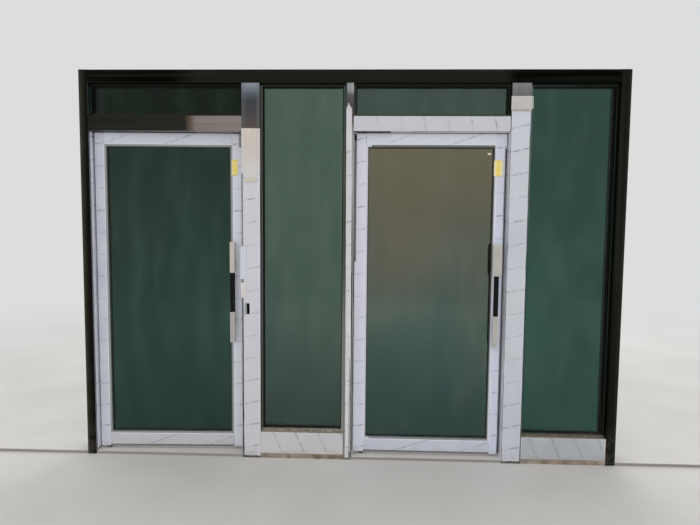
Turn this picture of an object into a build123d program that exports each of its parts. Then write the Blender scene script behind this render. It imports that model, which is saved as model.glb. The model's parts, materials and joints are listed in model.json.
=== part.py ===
"""Glass entrance door: a folded steel frame with two glazed leaves on floor springs.

The frame stands on the slab and holds two doorways, each with a glazed light over it, and two
fixed side lights. X runs along the wall, +Y goes inside, +Z up, and the origin is the middle of
the middle mullion's foot, on the slab. Millimetres.
"""
import os
from math import cos, radians, sin

from build123d import *

os.makedirs("parts", exist_ok=True)

# Frame members and bays across the opening, from left to right
jamb_left_width = 58
doorway_left_width = 973
mullion_left_width = 114
side_light_middle_width = 538
mullion_middle_width = 50
doorway_right_width = 968
mullion_right_width = 120
side_light_right_width = 537
jamb_right_width = 62

# Frame heights and section
doorway_height = 2100
transom_bar_height = 93
transom_light_height = 201
header_height = 82
base_panel_height = 173
frame_depth = 150
steel_gauge = 1.5
inner_bend = 1.0

# Feet and wall anchors
foot_plate_thickness = 6
foot_bolt_hole = 11
foot_bolt_spacing = 90
anchor_hole = 9
anchor_spacing = 80
anchor_end_distance = 80

# Cable cut-out in the front of the left mullion
cutout_inset = 18
cutout_width = 26
cutout_bottom = 946
cutout_height = 64

# Leaves
leaf_thickness = 45
leaf_wall = 2
stile_width = 59
top_rail_height = 72
bottom_rail_height = 88
leaf_bottom = 34
leaf_top_gap = 3
hinge_gap_left = 10
lock_gap_left = 20
hinge_gap_right = 19.5
lock_gap_right = 11.5
pivot_inset = 45
left_leaf_ajar_angle = 2.1

# Glazing
pane_thickness = 5
pane_gap = 12
glass_edge_gap = 5
gasket_thickness = 3
gasket_grip = 8
gasket_lip = 6
spacer_height = 9
spacer_edge_cover = 2
setting_block_length = 100
bead_gauge = 1.2
leaf_bead_face = 13
leaf_bead_recess = 1.5
fixed_bead_face = 14
fixed_bead_depth = 20
fixed_glass_forward = 16

# Edge seals on the stiles: they stop short of the frame by the sweep gap as the leaf turns
seal_thickness = 8
seal_sweep_gap = 2
seal_top_gap = 42

# Pulls, one each side of a leaf, joined by studs through the lock stile
pull_inset = 52
pull_centre_height = 1079
pull_length = 648
pull_width = 29
pull_thickness = 18
pull_corner = 5
pull_clear_gap = 44
grip_length = 258
grip_swell = 1
grip_corner = 7
grip_core_width = 19
grip_core_thickness = 9
standoff_diameter = 16
standoff_from_grip = 60
stud_diameter = 8
stud_depth = 15

# Floor springs and pivots
finished_floor = 20
cover_thickness = 1.5
cover_length = 210
cover_width = 134
cover_hole = 34
cover_margin = 7
closer_depth = 40
closer_corner = 7
closer_end_gap = 2
spindle_diameter = 24
spindle_depth = 30
spindle_shoulder = 3
spindle_square = 16
arm_length = 195
arm_width = 30
arm_height = 22
pivot_plate_length = 100
pivot_plate_width = 40
pivot_plate_thickness = 6
pivot_pin_diameter = 14
pivot_pin_depth = 22
bush_height = 25
bush_recess = 1

# Clearances
fit_gap = 0.3
running_gap = 0.05
thread_gap = 0.05
hole_gap = 0.5

# Places along the wall, worked out from the middle mullion
mullion_middle_x = -mullion_middle_width / 2
side_light_middle_x = mullion_middle_x - side_light_middle_width
mullion_left_x = side_light_middle_x - mullion_left_width
doorway_left_x = mullion_left_x - doorway_left_width
jamb_left_x = doorway_left_x - jamb_left_width
doorway_right_x = mullion_middle_x + mullion_middle_width
mullion_right_x = doorway_right_x + doorway_right_width
side_light_right_x = mullion_right_x + mullion_right_width
jamb_right_x = side_light_right_x + side_light_right_width
transom_top = doorway_height + transom_bar_height
header_underside = transom_top + transom_light_height
frame_height = header_underside + header_height

# Places across the thickness, out from the middle of the glass
glass_face = pane_gap / 2 + pane_thickness
bead_back = glass_face + gasket_thickness
leaf_bead_front = leaf_thickness / 2 - leaf_bead_recess
fixed_bead_front = bead_back + fixed_bead_depth

# Places as shift along the wall, shift inside and turn: the frame's own, and the fixed lights' in it
frame_place = (0, 0, 0)
fixed_light_place = (0, -fixed_glass_forward, 0)


def level_plane(place, height):
    """Plane lying flat at a height, with its x axis along the frame or the leaf."""
    x, y, turn = place
    return Plane(origin=(x, y, height), x_dir=(cos(turn), sin(turn), 0), z_dir=(0, 0, 1))


def end_plane(place, along):
    """Plane across the frame or the leaf, with its x axis going inside and its y axis up."""
    x, y, turn = place
    start = (x + along * cos(turn), y + along * sin(turn), 0)
    return Plane(origin=start, x_dir=(-sin(turn), cos(turn), 0), z_dir=(cos(turn), sin(turn), 0))


def box_section(plane, centre, width, height, wall, length):
    """Straight box section of folded sheet, open at both ends."""
    with BuildPart() as section:
        with BuildSketch(plane):
            with Locations(centre):
                RectangleRounded(width, height, inner_bend + wall)
                RectangleRounded(width - 2 * wall, height - 2 * wall, inner_bend, mode=Mode.SUBTRACT)
        extrude(amount=length)
    return section.part


def post(start, width, bottom, top):
    """Upright frame member, the full depth of the frame."""
    plane = level_plane(frame_place, bottom)
    return box_section(plane, (start + width / 2, 0), width, frame_depth, steel_gauge, top - bottom)


def beam(start, length, bottom, height):
    """Level frame member, the full depth of the frame."""
    plane = end_plane(frame_place, start)
    return box_section(plane, (0, bottom + height / 2), frame_depth, height, steel_gauge, length)


def front_plane(place, across):
    """Plane facing outside at a distance inside the middle of the leaf, with its y axis up."""
    x, y, turn = place
    start = (x - across * sin(turn), y + across * cos(turn), 0)
    return Plane(origin=start, x_dir=(cos(turn), sin(turn), 0), z_dir=(sin(turn), -cos(turn), 0))


def finish(part, name):
    """Label a finished piece and write it out."""
    part.label = name
    export_step(part, f"parts/{name}.step")


def spacer_ring(place, opening):
    """Bent aluminium spacer between the two panes of a light."""
    left, right, bottom, top = opening
    inset = glass_edge_gap + spacer_edge_cover
    width = right - left - 2 * inset
    height = top - bottom - 2 * inset
    with BuildPart() as ring:
        with BuildSketch(front_plane(place, -pane_gap / 2)):
            with Locations(((left + right) / 2, (bottom + top) / 2)):
                Rectangle(width, height)
                Rectangle(width - 2 * spacer_height, height - 2 * spacer_height, mode=Mode.SUBTRACT)
        extrude(amount=-pane_gap)
    return ring.part


def glazed_light(name, place, opening, bead_face, bead_front):
    """Panes, beads, gaskets and setting blocks of one light, each kind in a node of its own."""
    left, right, bottom, top = opening
    light_middle = (left + right) / 2
    glass_width = right - left - 2 * glass_edge_gap
    glass_height = top - bottom - 2 * glass_edge_gap
    pane_middle = (pane_gap + pane_thickness) / 2
    with BuildPart() as glass:
        with BuildSketch(level_plane(place, bottom + glass_edge_gap)):
            with Locations((light_middle, -pane_middle), (light_middle, pane_middle)):
                Rectangle(glass_width, pane_thickness)
        extrude(amount=glass_height)
    finish(glass.part, f"{name}_glass")

    # Beads: folded channels, open towards the member that they are clipped to
    bead_depth = bead_front - bead_back
    bead_middle = (bead_front + bead_back) / 2
    hollow_depth = bead_depth - 2 * bead_gauge
    hollow_face = bead_face - bead_gauge
    upright_bottom = bottom + bead_face + fit_gap
    upright_top = top - bead_face - fit_gap
    with BuildPart() as beads:
        with BuildSketch(end_plane(place, left)):
            for side in (-bead_middle, bead_middle):
                with Locations((side, bottom + bead_face / 2), (side, top - bead_face / 2)):
                    Rectangle(bead_depth, bead_face)
                with Locations((side, bottom + hollow_face / 2), (side, top - hollow_face / 2)):
                    Rectangle(hollow_depth, hollow_face, mode=Mode.SUBTRACT)
        extrude(amount=right - left)
        with BuildSketch(level_plane(place, upright_bottom)):
            for side in (-bead_middle, bead_middle):
                with Locations((left + bead_face / 2, side), (right - bead_face / 2, side)):
                    Rectangle(bead_face, bead_depth)
                with Locations((left + hollow_face / 2, side), (right - hollow_face / 2, side)):
                    Rectangle(hollow_face, hollow_depth, mode=Mode.SUBTRACT)
        extrude(amount=upright_top - upright_bottom)
    finish(beads.part, f"{name}_beads")

    # Gaskets: strips between beads and panes, with a lip past the bead, and two setting blocks
    gasket_middle = glass_face + gasket_thickness / 2
    gasket_height = gasket_grip + gasket_lip
    inset = bead_face - gasket_grip
    reach = inset + gasket_height / 2
    strip_bottom = bottom + inset + gasket_height + fit_gap
    strip_top = top - inset - gasket_height - fit_gap
    with BuildPart() as gaskets:
        with BuildSketch(end_plane(place, left + inset)):
            for side in (-gasket_middle, gasket_middle):
                with Locations((side, bottom + reach), (side, top - reach)):
                    Rectangle(gasket_thickness, gasket_height)
        extrude(amount=right - left - 2 * inset)
        with BuildSketch(level_plane(place, strip_bottom)):
            for side in (-gasket_middle, gasket_middle):
                with Locations((left + reach, side), (right - reach, side)):
                    Rectangle(gasket_height, gasket_thickness)
        extrude(amount=strip_top - strip_bottom)
        with BuildSketch(level_plane(place, bottom)):
            with Locations((light_middle - glass_width / 4, 0), (light_middle + glass_width / 4, 0)):
                Rectangle(setting_block_length, 2 * (glass_face - fit_gap))
        extrude(amount=glass_edge_gap)
    finish(gaskets.part, f"{name}_gaskets")


# Jambs: upright box sections at the ends of the frame, with anchor holes in the wall side
anchor_heights = (anchor_end_distance, frame_height - anchor_end_distance)
for jamb_name, jamb_x, jamb_width, wall_x, wall_way in (
    ("jamb_left", jamb_left_x, jamb_left_width, jamb_left_x, 1),
    ("jamb_right", jamb_right_x, jamb_right_width, jamb_right_x + jamb_right_width, -1),
):
    wall_plane = Plane(origin=(wall_x, 0, 0), x_dir=(0, wall_way, 0), z_dir=(wall_way, 0, 0))
    with BuildPart() as jamb:
        add(post(jamb_x, jamb_width, 0, frame_height))
        with BuildSketch(wall_plane):
            for height in anchor_heights:
                with Locations((-anchor_spacing / 2, height), (anchor_spacing / 2, height)):
                    Circle(anchor_hole / 2)
        extrude(amount=steel_gauge, mode=Mode.SUBTRACT)
    finish(jamb.part, jamb_name)

# Header: level box section between the jambs, over all four bays
with BuildPart() as header:
    add(beam(doorway_left_x, jamb_right_x - doorway_left_x, header_underside, header_height))
finish(header.part, "header")

# Mullions: upright box sections between the bays, butted under the header
with BuildPart() as mullion_left:
    add(post(mullion_left_x, mullion_left_width, 0, header_underside))
    cutout_plane = Plane(origin=(mullion_left_x, -frame_depth / 2, 0), x_dir=(1, 0, 0), z_dir=(0, -1, 0))
    with BuildSketch(cutout_plane):
        with Locations((cutout_inset + cutout_width / 2, cutout_bottom + cutout_height / 2)):
            Rectangle(cutout_width, cutout_height)
    extrude(amount=-steel_gauge, mode=Mode.SUBTRACT)
finish(mullion_left.part, "mullion_left")

with BuildPart() as mullion_middle:
    add(post(mullion_middle_x, mullion_middle_width, 0, header_underside))
finish(mullion_middle.part, "mullion_middle")

with BuildPart() as mullion_right:
    add(post(mullion_right_x, mullion_right_width, 0, header_underside))
finish(mullion_right.part, "mullion_right")

# Foot plates: steel plates inside the feet of the jambs and mullions, bolted to the slab
foot_inset = steel_gauge + fit_gap
foot_depth = frame_depth - 2 * foot_inset
with BuildPart() as foot_plates:
    for member_x, member_width in (
        (jamb_left_x, jamb_left_width),
        (mullion_left_x, mullion_left_width),
        (mullion_middle_x, mullion_middle_width),
        (mullion_right_x, mullion_right_width),
        (jamb_right_x, jamb_right_width),
    ):
        member_middle = member_x + member_width / 2
        with BuildSketch(level_plane(frame_place, 0)):
            with Locations((member_middle, 0)):
                Rectangle(member_width - 2 * foot_inset, foot_depth)
            with Locations((member_middle, -foot_bolt_spacing / 2), (member_middle, foot_bolt_spacing / 2)):
                Circle(foot_bolt_hole / 2, mode=Mode.SUBTRACT)
        extrude(amount=foot_plate_thickness)
finish(foot_plates.part, "foot_plates")

# Base panels: level box sections on the slab, under the side lights
with BuildPart() as base_panel_middle:
    add(beam(side_light_middle_x, side_light_middle_width, 0, base_panel_height))
finish(base_panel_middle.part, "base_panel_middle")

with BuildPart() as base_panel_right:
    add(beam(side_light_right_x, side_light_right_width, 0, base_panel_height))
finish(base_panel_right.part, "base_panel_right")

# Fixed lights: over the two base panels and over the two transom bars
side_middle_right = side_light_middle_x + side_light_middle_width
side_right_right = side_light_right_x + side_light_right_width
door_left_right = doorway_left_x + doorway_left_width
door_right_right = doorway_right_x + doorway_right_width
fixed_lights = {
    "side_light_middle": (side_light_middle_x, side_middle_right, base_panel_height, header_underside),
    "side_light_right": (side_light_right_x, side_right_right, base_panel_height, header_underside),
    "transom_light_left": (doorway_left_x, door_left_right, transom_top, header_underside),
    "transom_light_right": (doorway_right_x, door_right_right, transom_top, header_underside),
}
for light_name, light_opening in fixed_lights.items():
    glazed_light(light_name, fixed_light_place, light_opening, fixed_bead_face, fixed_bead_front)

with BuildPart() as fixed_light_spacers:
    add([spacer_ring(fixed_light_place, light_opening) for light_opening in fixed_lights.values()])
finish(fixed_light_spacers.part, "fixed_light_spacers")

# Each door: its doorway, its gaps at the hinge and lock sides, and how far it stands ajar
doors = {
    "left": (doorway_left_x, doorway_left_width, hinge_gap_left, lock_gap_left, left_leaf_ajar_angle),
    "right": (doorway_right_x, doorway_right_width, hinge_gap_right, lock_gap_right, 0),
}
leaf_top = doorway_height - leaf_top_gap
leaf_height = leaf_top - leaf_bottom
closer_top = finished_floor - cover_thickness
arm_bottom = leaf_bottom + leaf_wall + fit_gap
arm_top = arm_bottom + arm_height
hinge_edge = -pivot_inset

for side_name, (doorway_x, doorway_width, hinge_gap, lock_gap, ajar) in doors.items():
    pivot_x = doorway_x + hinge_gap + pivot_inset
    place = (pivot_x, 0, radians(ajar))
    still_place = (pivot_x, 0, 0)
    leaf_width = doorway_width - hinge_gap - lock_gap
    lock_edge = leaf_width - pivot_inset
    rail_start = hinge_edge + stile_width
    rail_length = leaf_width - 2 * stile_width
    lock_stile_start = lock_edge - stile_width

    # Transom bar: level box section over the doorway, with a hole for the top pivot pin
    pin_hole = pivot_pin_diameter + 2 * hole_gap
    with BuildPart() as transom_bar:
        add(beam(doorway_x, doorway_width, doorway_height, transom_bar_height))
        with BuildSketch(level_plane(still_place, doorway_height)):
            Circle(pin_hole / 2)
        extrude(amount=steel_gauge, mode=Mode.SUBTRACT)
    finish(transom_bar.part, f"transom_bar_{side_name}")

    # Top pivot: a plate on the transom bar's lower wall with a pin down into the leaf
    plate_bottom = doorway_height + steel_gauge
    pin_bottom = leaf_top - pivot_pin_depth
    with BuildPart() as top_pivot:
        with BuildSketch(level_plane(still_place, plate_bottom)):
            Rectangle(pivot_plate_length, pivot_plate_width)
        extrude(amount=pivot_plate_thickness)
        with BuildSketch(level_plane(still_place, pin_bottom)):
            Circle(pivot_pin_diameter / 2)
        extrude(amount=plate_bottom - pin_bottom)
    finish(top_pivot.part, f"top_pivot_{side_name}")

    # Floor spring: the closer's body, let into the floor, with a bore for its spindle
    closer_start = doorway_x + closer_end_gap + cover_margin - pivot_x
    closer_length = cover_length - 2 * cover_margin
    closer_width = cover_width - 2 * cover_margin
    closer_middle = (closer_start + closer_length / 2, 0)
    with BuildPart() as floor_spring:
        with BuildSketch(level_plane(still_place, closer_top - closer_depth)):
            with Locations(closer_middle):
                RectangleRounded(closer_length, closer_width, closer_corner)
        extrude(amount=closer_depth)
        with BuildSketch(level_plane(still_place, closer_top)):
            Circle(spindle_diameter / 2 + running_gap)
        extrude(amount=-spindle_depth, mode=Mode.SUBTRACT)
    finish(floor_spring.part, f"floor_spring_{side_name}")

    # Cover plate: sheet screwed on the closer, level with the finished floor
    with BuildPart() as cover:
        with BuildSketch(level_plane(still_place, closer_top)):
            with Locations(closer_middle):
                Rectangle(cover_length, cover_width)
            Circle(cover_hole / 2, mode=Mode.SUBTRACT)
        extrude(amount=cover_thickness)
    finish(cover.part, f"floor_cover_{side_name}")

    # Spindle: round in the closer and square in the arm, so that it turns with the leaf
    spindle_bottom = closer_top - spindle_depth + fit_gap
    spindle_step = finished_floor + spindle_shoulder
    with BuildPart() as spindle:
        with BuildSketch(level_plane(place, spindle_bottom)):
            Circle(spindle_diameter / 2)
        extrude(amount=spindle_step - spindle_bottom)
        with BuildSketch(level_plane(place, spindle_step)):
            Rectangle(spindle_square, spindle_square)
        extrude(amount=arm_top - fit_gap - spindle_step)
    finish(spindle.part, f"spindle_{side_name}")

    # Bottom arm: steel bar on the spindle, held inside the stile's foot and the bottom rail
    arm_start = hinge_edge + leaf_wall + fit_gap
    with BuildPart() as arm:
        with BuildSketch(level_plane(place, arm_bottom)):
            with Locations((arm_start + arm_length / 2, 0)):
                Rectangle(arm_length, arm_width)
            socket = spindle_square + 2 * fit_gap
            Rectangle(socket, socket, mode=Mode.SUBTRACT)
        extrude(amount=arm_height)
    finish(arm.part, f"bottom_arm_{side_name}")

    # Hinge stile: full-height box section, notched at its foot for the arm
    stile_plane = level_plane(place, leaf_bottom)
    notch_x = rail_start - leaf_wall / 2
    notch_height = arm_top + fit_gap - leaf_bottom
    with BuildPart() as hinge_stile:
        stile_middle = (hinge_edge + stile_width / 2, 0)
        add(box_section(stile_plane, stile_middle, stile_width, leaf_thickness, leaf_wall, leaf_height))
        with BuildSketch(stile_plane):
            with Locations((notch_x, 0)):
                Rectangle(2 * leaf_wall, arm_width + 2 * fit_gap)
        extrude(amount=notch_height, mode=Mode.SUBTRACT)
    finish(hinge_stile.part, f"hinge_stile_{side_name}")

    # Top bush: steel block in the stile's head, bored for the top pivot pin
    bush_width = stile_width - 2 * leaf_wall - 2 * fit_gap
    bush_depth = leaf_thickness - 2 * leaf_wall - 2 * fit_gap
    with BuildPart() as top_bush:
        with BuildSketch(level_plane(place, leaf_top - bush_recess - bush_height)):
            with Locations((hinge_edge + stile_width / 2, 0)):
                RectangleRounded(bush_width, bush_depth, inner_bend)
            Circle(pivot_pin_diameter / 2 + running_gap, mode=Mode.SUBTRACT)
        extrude(amount=bush_height)
    finish(top_bush.part, f"top_bush_{side_name}")

    # Lock stile: full-height box section, drilled through for the pull studs
    pull_along = lock_edge - pull_inset
    standoff_reach = grip_length / 2 + standoff_from_grip
    stud_places = (
        (pull_along, pull_centre_height - standoff_reach),
        (pull_along, pull_centre_height + standoff_reach),
    )
    with BuildPart() as lock_stile:
        stile_middle = (lock_edge - stile_width / 2, 0)
        add(box_section(stile_plane, stile_middle, stile_width, leaf_thickness, leaf_wall, leaf_height))
        with BuildSketch(front_plane(place, -leaf_thickness / 2)):
            with Locations(*stud_places):
                Circle(stud_diameter / 2 + hole_gap)
        extrude(amount=-leaf_thickness, mode=Mode.SUBTRACT)
    finish(lock_stile.part, f"lock_stile_{side_name}")

    # Rails: level box sections butted between the stiles
    rail_plane = end_plane(place, rail_start)
    top_rail_middle = (0, leaf_top - top_rail_height / 2)
    with BuildPart() as top_rail:
        add(box_section(rail_plane, top_rail_middle, leaf_thickness, top_rail_height, leaf_wall, rail_length))
    finish(top_rail.part, f"top_rail_{side_name}")

    low_rail_middle = (0, leaf_bottom + bottom_rail_height / 2)
    with BuildPart() as bottom_rail:
        add(box_section(rail_plane, low_rail_middle, leaf_thickness, bottom_rail_height, leaf_wall, rail_length))
    finish(bottom_rail.part, f"bottom_rail_{side_name}")

    # The leaf's own double glazing
    leaf_opening = (rail_start, lock_stile_start, leaf_bottom + bottom_rail_height, leaf_top - top_rail_height)
    glazed_light(f"leaf_{side_name}", place, leaf_opening, leaf_bead_face, leaf_bead_front)
    finish(spacer_ring(place, leaf_opening), f"leaf_{side_name}_spacer")

    # Edge seals: grey bulb strips down both edges of the leaf, cut short below its top
    seal_height = leaf_height - seal_top_gap
    with BuildPart() as edge_seals:
        for edge, way, gap in ((hinge_edge, -1, hinge_gap), (lock_edge, 1, lock_gap)):
            seal_neck = gap - seal_sweep_gap - seal_thickness / 2
            with BuildSketch(stile_plane):
                with Locations((edge + way * seal_neck / 2, 0)):
                    Rectangle(seal_neck, seal_thickness)
                with Locations((edge + way * seal_neck, 0)):
                    Circle(seal_thickness / 2)
                with Locations((edge - way * seal_thickness / 2, 0)):
                    Rectangle(seal_thickness, seal_thickness, mode=Mode.SUBTRACT)
            extrude(amount=seal_height)
    finish(edge_seals.part, f"edge_seals_{side_name}")

    # Pulls: flat steel bars on two standoffs, thinner where the grip is sleeved over them
    pull_bottom = pull_centre_height - pull_length / 2
    grip_bottom = pull_centre_height - grip_length / 2
    end_length = (pull_length - grip_length) / 2
    bar_middle = leaf_thickness / 2 + pull_clear_gap + pull_thickness / 2
    bar_places = ((pull_along, -bar_middle), (pull_along, bar_middle))
    with BuildPart() as pulls:
        for end_bottom in (pull_bottom, grip_bottom + grip_length):
            with BuildSketch(level_plane(place, end_bottom)):
                with Locations(*bar_places):
                    RectangleRounded(pull_width, pull_thickness, pull_corner)
            extrude(amount=end_length)
        with BuildSketch(level_plane(place, grip_bottom)):
            with Locations(*bar_places):
                Rectangle(grip_core_width, grip_core_thickness)
        extrude(amount=grip_length)
        for way in (-1, 1):
            with BuildSketch(front_plane(place, way * leaf_thickness / 2)):
                with Locations(*stud_places):
                    Circle(standoff_diameter / 2)
            extrude(amount=-way * (pull_clear_gap + pull_thickness / 2))
            with BuildSketch(front_plane(place, way * leaf_thickness / 2)):
                with Locations(*stud_places):
                    Circle(stud_diameter / 2 + thread_gap)
            extrude(amount=-way * (stud_depth + fit_gap), mode=Mode.SUBTRACT)
    finish(pulls.part, f"pulls_{side_name}")

    # Grips: moulded sleeves on the cores of the two pulls
    core_width = grip_core_width + 2 * fit_gap
    core_thickness = grip_core_thickness + 2 * fit_gap
    with BuildPart() as grips:
        with BuildSketch(level_plane(place, grip_bottom + fit_gap)):
            with Locations(*bar_places):
                RectangleRounded(pull_width + grip_swell, pull_thickness + grip_swell, grip_corner)
                Rectangle(core_width, core_thickness, mode=Mode.SUBTRACT)
        extrude(amount=grip_length - 2 * fit_gap)
    finish(grips.part, f"pull_grips_{side_name}")

    # Studs: threaded rods through the lock stile, into the standoffs at both sides
    with BuildPart() as studs:
        with BuildSketch(front_plane(place, -leaf_thickness / 2 - stud_depth)):
            with Locations(*stud_places):
                Circle(stud_diameter / 2)
        extrude(amount=-leaf_thickness - 2 * stud_depth)
    finish(studs.part, f"pull_studs_{side_name}")
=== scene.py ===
"""Glass entrance door: finishes, protective film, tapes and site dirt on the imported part. Metres."""
import json
import math

import bpy
from mathutils import Matrix, Vector, noise


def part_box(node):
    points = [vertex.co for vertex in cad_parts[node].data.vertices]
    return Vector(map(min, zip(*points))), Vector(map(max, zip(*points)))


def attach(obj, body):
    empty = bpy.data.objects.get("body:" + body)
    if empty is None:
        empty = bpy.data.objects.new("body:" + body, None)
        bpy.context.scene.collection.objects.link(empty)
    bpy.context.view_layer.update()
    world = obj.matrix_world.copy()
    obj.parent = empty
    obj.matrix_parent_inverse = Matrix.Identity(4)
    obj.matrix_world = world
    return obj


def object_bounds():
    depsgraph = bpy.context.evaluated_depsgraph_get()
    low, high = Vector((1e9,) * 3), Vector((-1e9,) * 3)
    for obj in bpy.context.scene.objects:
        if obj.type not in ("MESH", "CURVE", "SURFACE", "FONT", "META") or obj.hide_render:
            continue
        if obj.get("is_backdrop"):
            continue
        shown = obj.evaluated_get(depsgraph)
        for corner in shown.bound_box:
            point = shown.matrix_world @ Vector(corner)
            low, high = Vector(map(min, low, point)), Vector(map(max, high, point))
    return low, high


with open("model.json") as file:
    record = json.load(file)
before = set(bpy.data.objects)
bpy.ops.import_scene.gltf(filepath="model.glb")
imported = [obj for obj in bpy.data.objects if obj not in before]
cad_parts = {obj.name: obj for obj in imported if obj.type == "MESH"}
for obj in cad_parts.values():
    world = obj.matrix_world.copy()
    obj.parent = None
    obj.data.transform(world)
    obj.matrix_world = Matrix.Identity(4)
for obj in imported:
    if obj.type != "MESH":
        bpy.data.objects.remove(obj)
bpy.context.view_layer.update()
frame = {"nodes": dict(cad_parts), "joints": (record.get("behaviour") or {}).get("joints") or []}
nodes = frame["nodes"]


# Jambs, header and left transom bar
# Boxes of folded bronze-coloured mirror steel, already stripped of their film. They are nearly black,
# with fine mill lines, and building dust lies on them where they face up and near the ground. Their
# tones across and along them are painted reflections of the surroundings in the mirror steel.
def linear(colour):
    """A colour of six hex digits, in linear values with full alpha."""
    parts = [int(colour[i:i + 2], 16) / 255 for i in (0, 2, 4)]
    return (*[c / 12.92 if c < 0.04045 else ((c + 0.055) / 1.055) ** 2.4 for c in parts], 1.0)


def add(tree, kind, inputs=None, **options):
    """Add a node, set its options, and give each input a link, a value or a colour of six hex digits."""
    made = tree.nodes.new(kind)
    for option, value in options.items():
        setattr(made, option, value)
    for key, value in (inputs or {}).items():
        if isinstance(value, bpy.types.NodeSocket):
            tree.links.new(value, made.inputs[key])
        else:
            made.inputs[key].default_value = linear(value) if isinstance(value, str) else value
    return made


def fed(kind, inputs, **options):
    """Add a node to the tree that its first linked input is in."""
    linked = [value for value in inputs.values() if isinstance(value, bpy.types.NodeSocket)]
    return add(linked[0].id_data, kind, inputs, **options)


def maths(operation, first, second=0.0, clamp=False):
    """Result of a Math node."""
    return fed("ShaderNodeMath", {0: first, 1: second}, operation=operation, use_clamp=clamp).outputs[0]


def times(first, second, clamp=False):
    """Product of two values."""
    return maths("MULTIPLY", first, second, clamp)


def plus(first, second, clamp=False):
    """Sum of two values."""
    return maths("ADD", first, second, clamp)


def minus(first, second):
    """Difference of two values."""
    return maths("SUBTRACT", first, second)


def fade(value, low, high, from_low=0.0, from_high=1.0):
    """A value that goes smoothly from from_low to from_high while the input goes from low to high."""
    inputs = {"Value": value, "From Min": low, "From Max": high, "To Min": from_low, "To Max": from_high}
    return fed("ShaderNodeMapRange", inputs, interpolation_type="SMOOTHSTEP").outputs["Result"]


def cloud(vector, scale, detail=2.0):
    """Noise from 0 to 1 at so many spots a metre."""
    return fed("ShaderNodeTexNoise", {"Vector": vector, "Scale": scale, "Detail": detail}).outputs[0]


def stretched(vector, factors):
    """A place multiplied along each axis."""
    return fed("ShaderNodeVectorMath", {0: vector, 1: factors}, operation="MULTIPLY").outputs[0]


def split(vector):
    """The three parts of a place or a direction."""
    return fed("ShaderNodeSeparateXYZ", {0: vector}).outputs


def mixed(share, first, second):
    """Colour between two colours."""
    return fed("ShaderNodeMix", {0: share, 6: first, 7: second}, data_type="RGBA").outputs[2]


def ramp(value, stops):
    """Colour along a value from 0 to 1, through pairs of place and colour."""
    made = fed("ShaderNodeValToRGB", {"Fac": value})
    elements = made.color_ramp.elements
    elements[0].position, elements[1].position = stops[0][0], stops[-1][0]
    for place, _ in stops[1:-1]:
        elements.new(place)
    for element, (_, colour) in zip(elements, stops):
        element.color = linear(colour)
    return made.outputs[0]


def new_group(name, inputs, outputs):
    """An empty shader node group: inputs are (label, kind, value), outputs (label, kind)."""
    tree = bpy.data.node_groups.new(name, "ShaderNodeTree")
    for label, kind, value in inputs:
        socket = tree.interface.new_socket(label, in_out="INPUT", socket_type=f"NodeSocket{kind}")
        if value is not None:
            socket.default_value = value
    for label, kind in outputs:
        tree.interface.new_socket(label, in_out="OUTPUT", socket_type=f"NodeSocket{kind}")
    return tree, tree.nodes.new("NodeGroupInput").outputs, tree.nodes.new("NodeGroupOutput").inputs


def use_group(group, inputs):
    """The outputs of a node group placed in a material."""
    return fed("ShaderNodeGroup", inputs, node_tree=group).outputs


def new_material(name, plain):
    """A node material, its shader with these plain values, and the place on the door."""
    made = bpy.data.materials.new(name)
    made.use_nodes = True
    tree = made.node_tree
    tree.nodes.clear()
    shader = add(tree, "ShaderNodeBsdfPrincipled", plain)
    add(tree, "ShaderNodeOutputMaterial", {"Surface": shader.outputs[0]})
    place = tree.nodes.new("ShaderNodeTexCoord").outputs["Object"]
    return made, shader, place


def link(shader, **sockets):
    """Feed the shader's sockets; underscores stand for spaces."""
    for key, value in sockets.items():
        shader.id_data.links.new(value, shader.inputs[key.replace("_", " ").title()])


def bump(height, distance, strength=1.0):
    """Normal of a surface with this height, in metres."""
    return fed("ShaderNodeBump", {"Height": height, "Distance": distance, "Strength": strength}).outputs[0]


def wear(material, *names):
    """Give CAD nodes their material."""
    for name in names:
        mesh = nodes[name].data
        mesh.materials.clear()
        mesh.materials.append(material)


dust, dust_in, dust_out = new_group(
    "building_dust",
    [("Place", "Vector", None), ("Low", "Float", 0.1), ("Amount", "Float", 1.0)],
    [("Mask", "Float")],
)
dust_normal = split(add(dust, "ShaderNodeNewGeometry").outputs["Normal"])
dust_up = fade(dust_normal[2], 0.6, 0.95, 0.0, 0.75)
dust_height = split(dust_in["Place"])[2]
dust_low = fade(maths("DIVIDE", dust_height, dust_in["Low"]), 1.0, 0.0)
dust_patch = fade(cloud(dust_in["Place"], 14.0, 4.0), 0.35, 0.7)
dust_speck = fade(cloud(dust_in["Place"], 130.0, 3.0), 0.4, 0.7, 0.25, 1.0)
dust_splash = times(dust_low, dust_patch)
dust_both = times(plus(dust_up, dust_splash), dust_speck)
dust_mask = times(dust_both, dust_in["Amount"], clamp=True)
dust.links.new(dust_mask, dust_out["Mask"])


def dusted(place, low, amount):
    """Share of building dust at a place: splashed up to this height, and so much of it."""
    return use_group(dust, {"Place": place, "Low": low, "Amount": amount})["Mask"]


grain, grain_in, grain_out = new_group(
    "mill_lines",
    [("Place", "Vector", None), ("Stretch", "Vector", (1, 1, 1))],
    [("Fine", "Float"), ("Broad", "Float")],
)
grain_place = stretched(grain_in["Place"], grain_in["Stretch"])
grain.links.new(cloud(grain_place, 900.0, 2.0), grain_out["Fine"])
grain.links.new(cloud(grain_place, 45.0, 2.0), grain_out["Broad"])

dust_colour = "8d867a"
lines_up = (1.0, 1.0, 0.02)
lines_along = (0.02, 1.0, 1.0)


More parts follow.
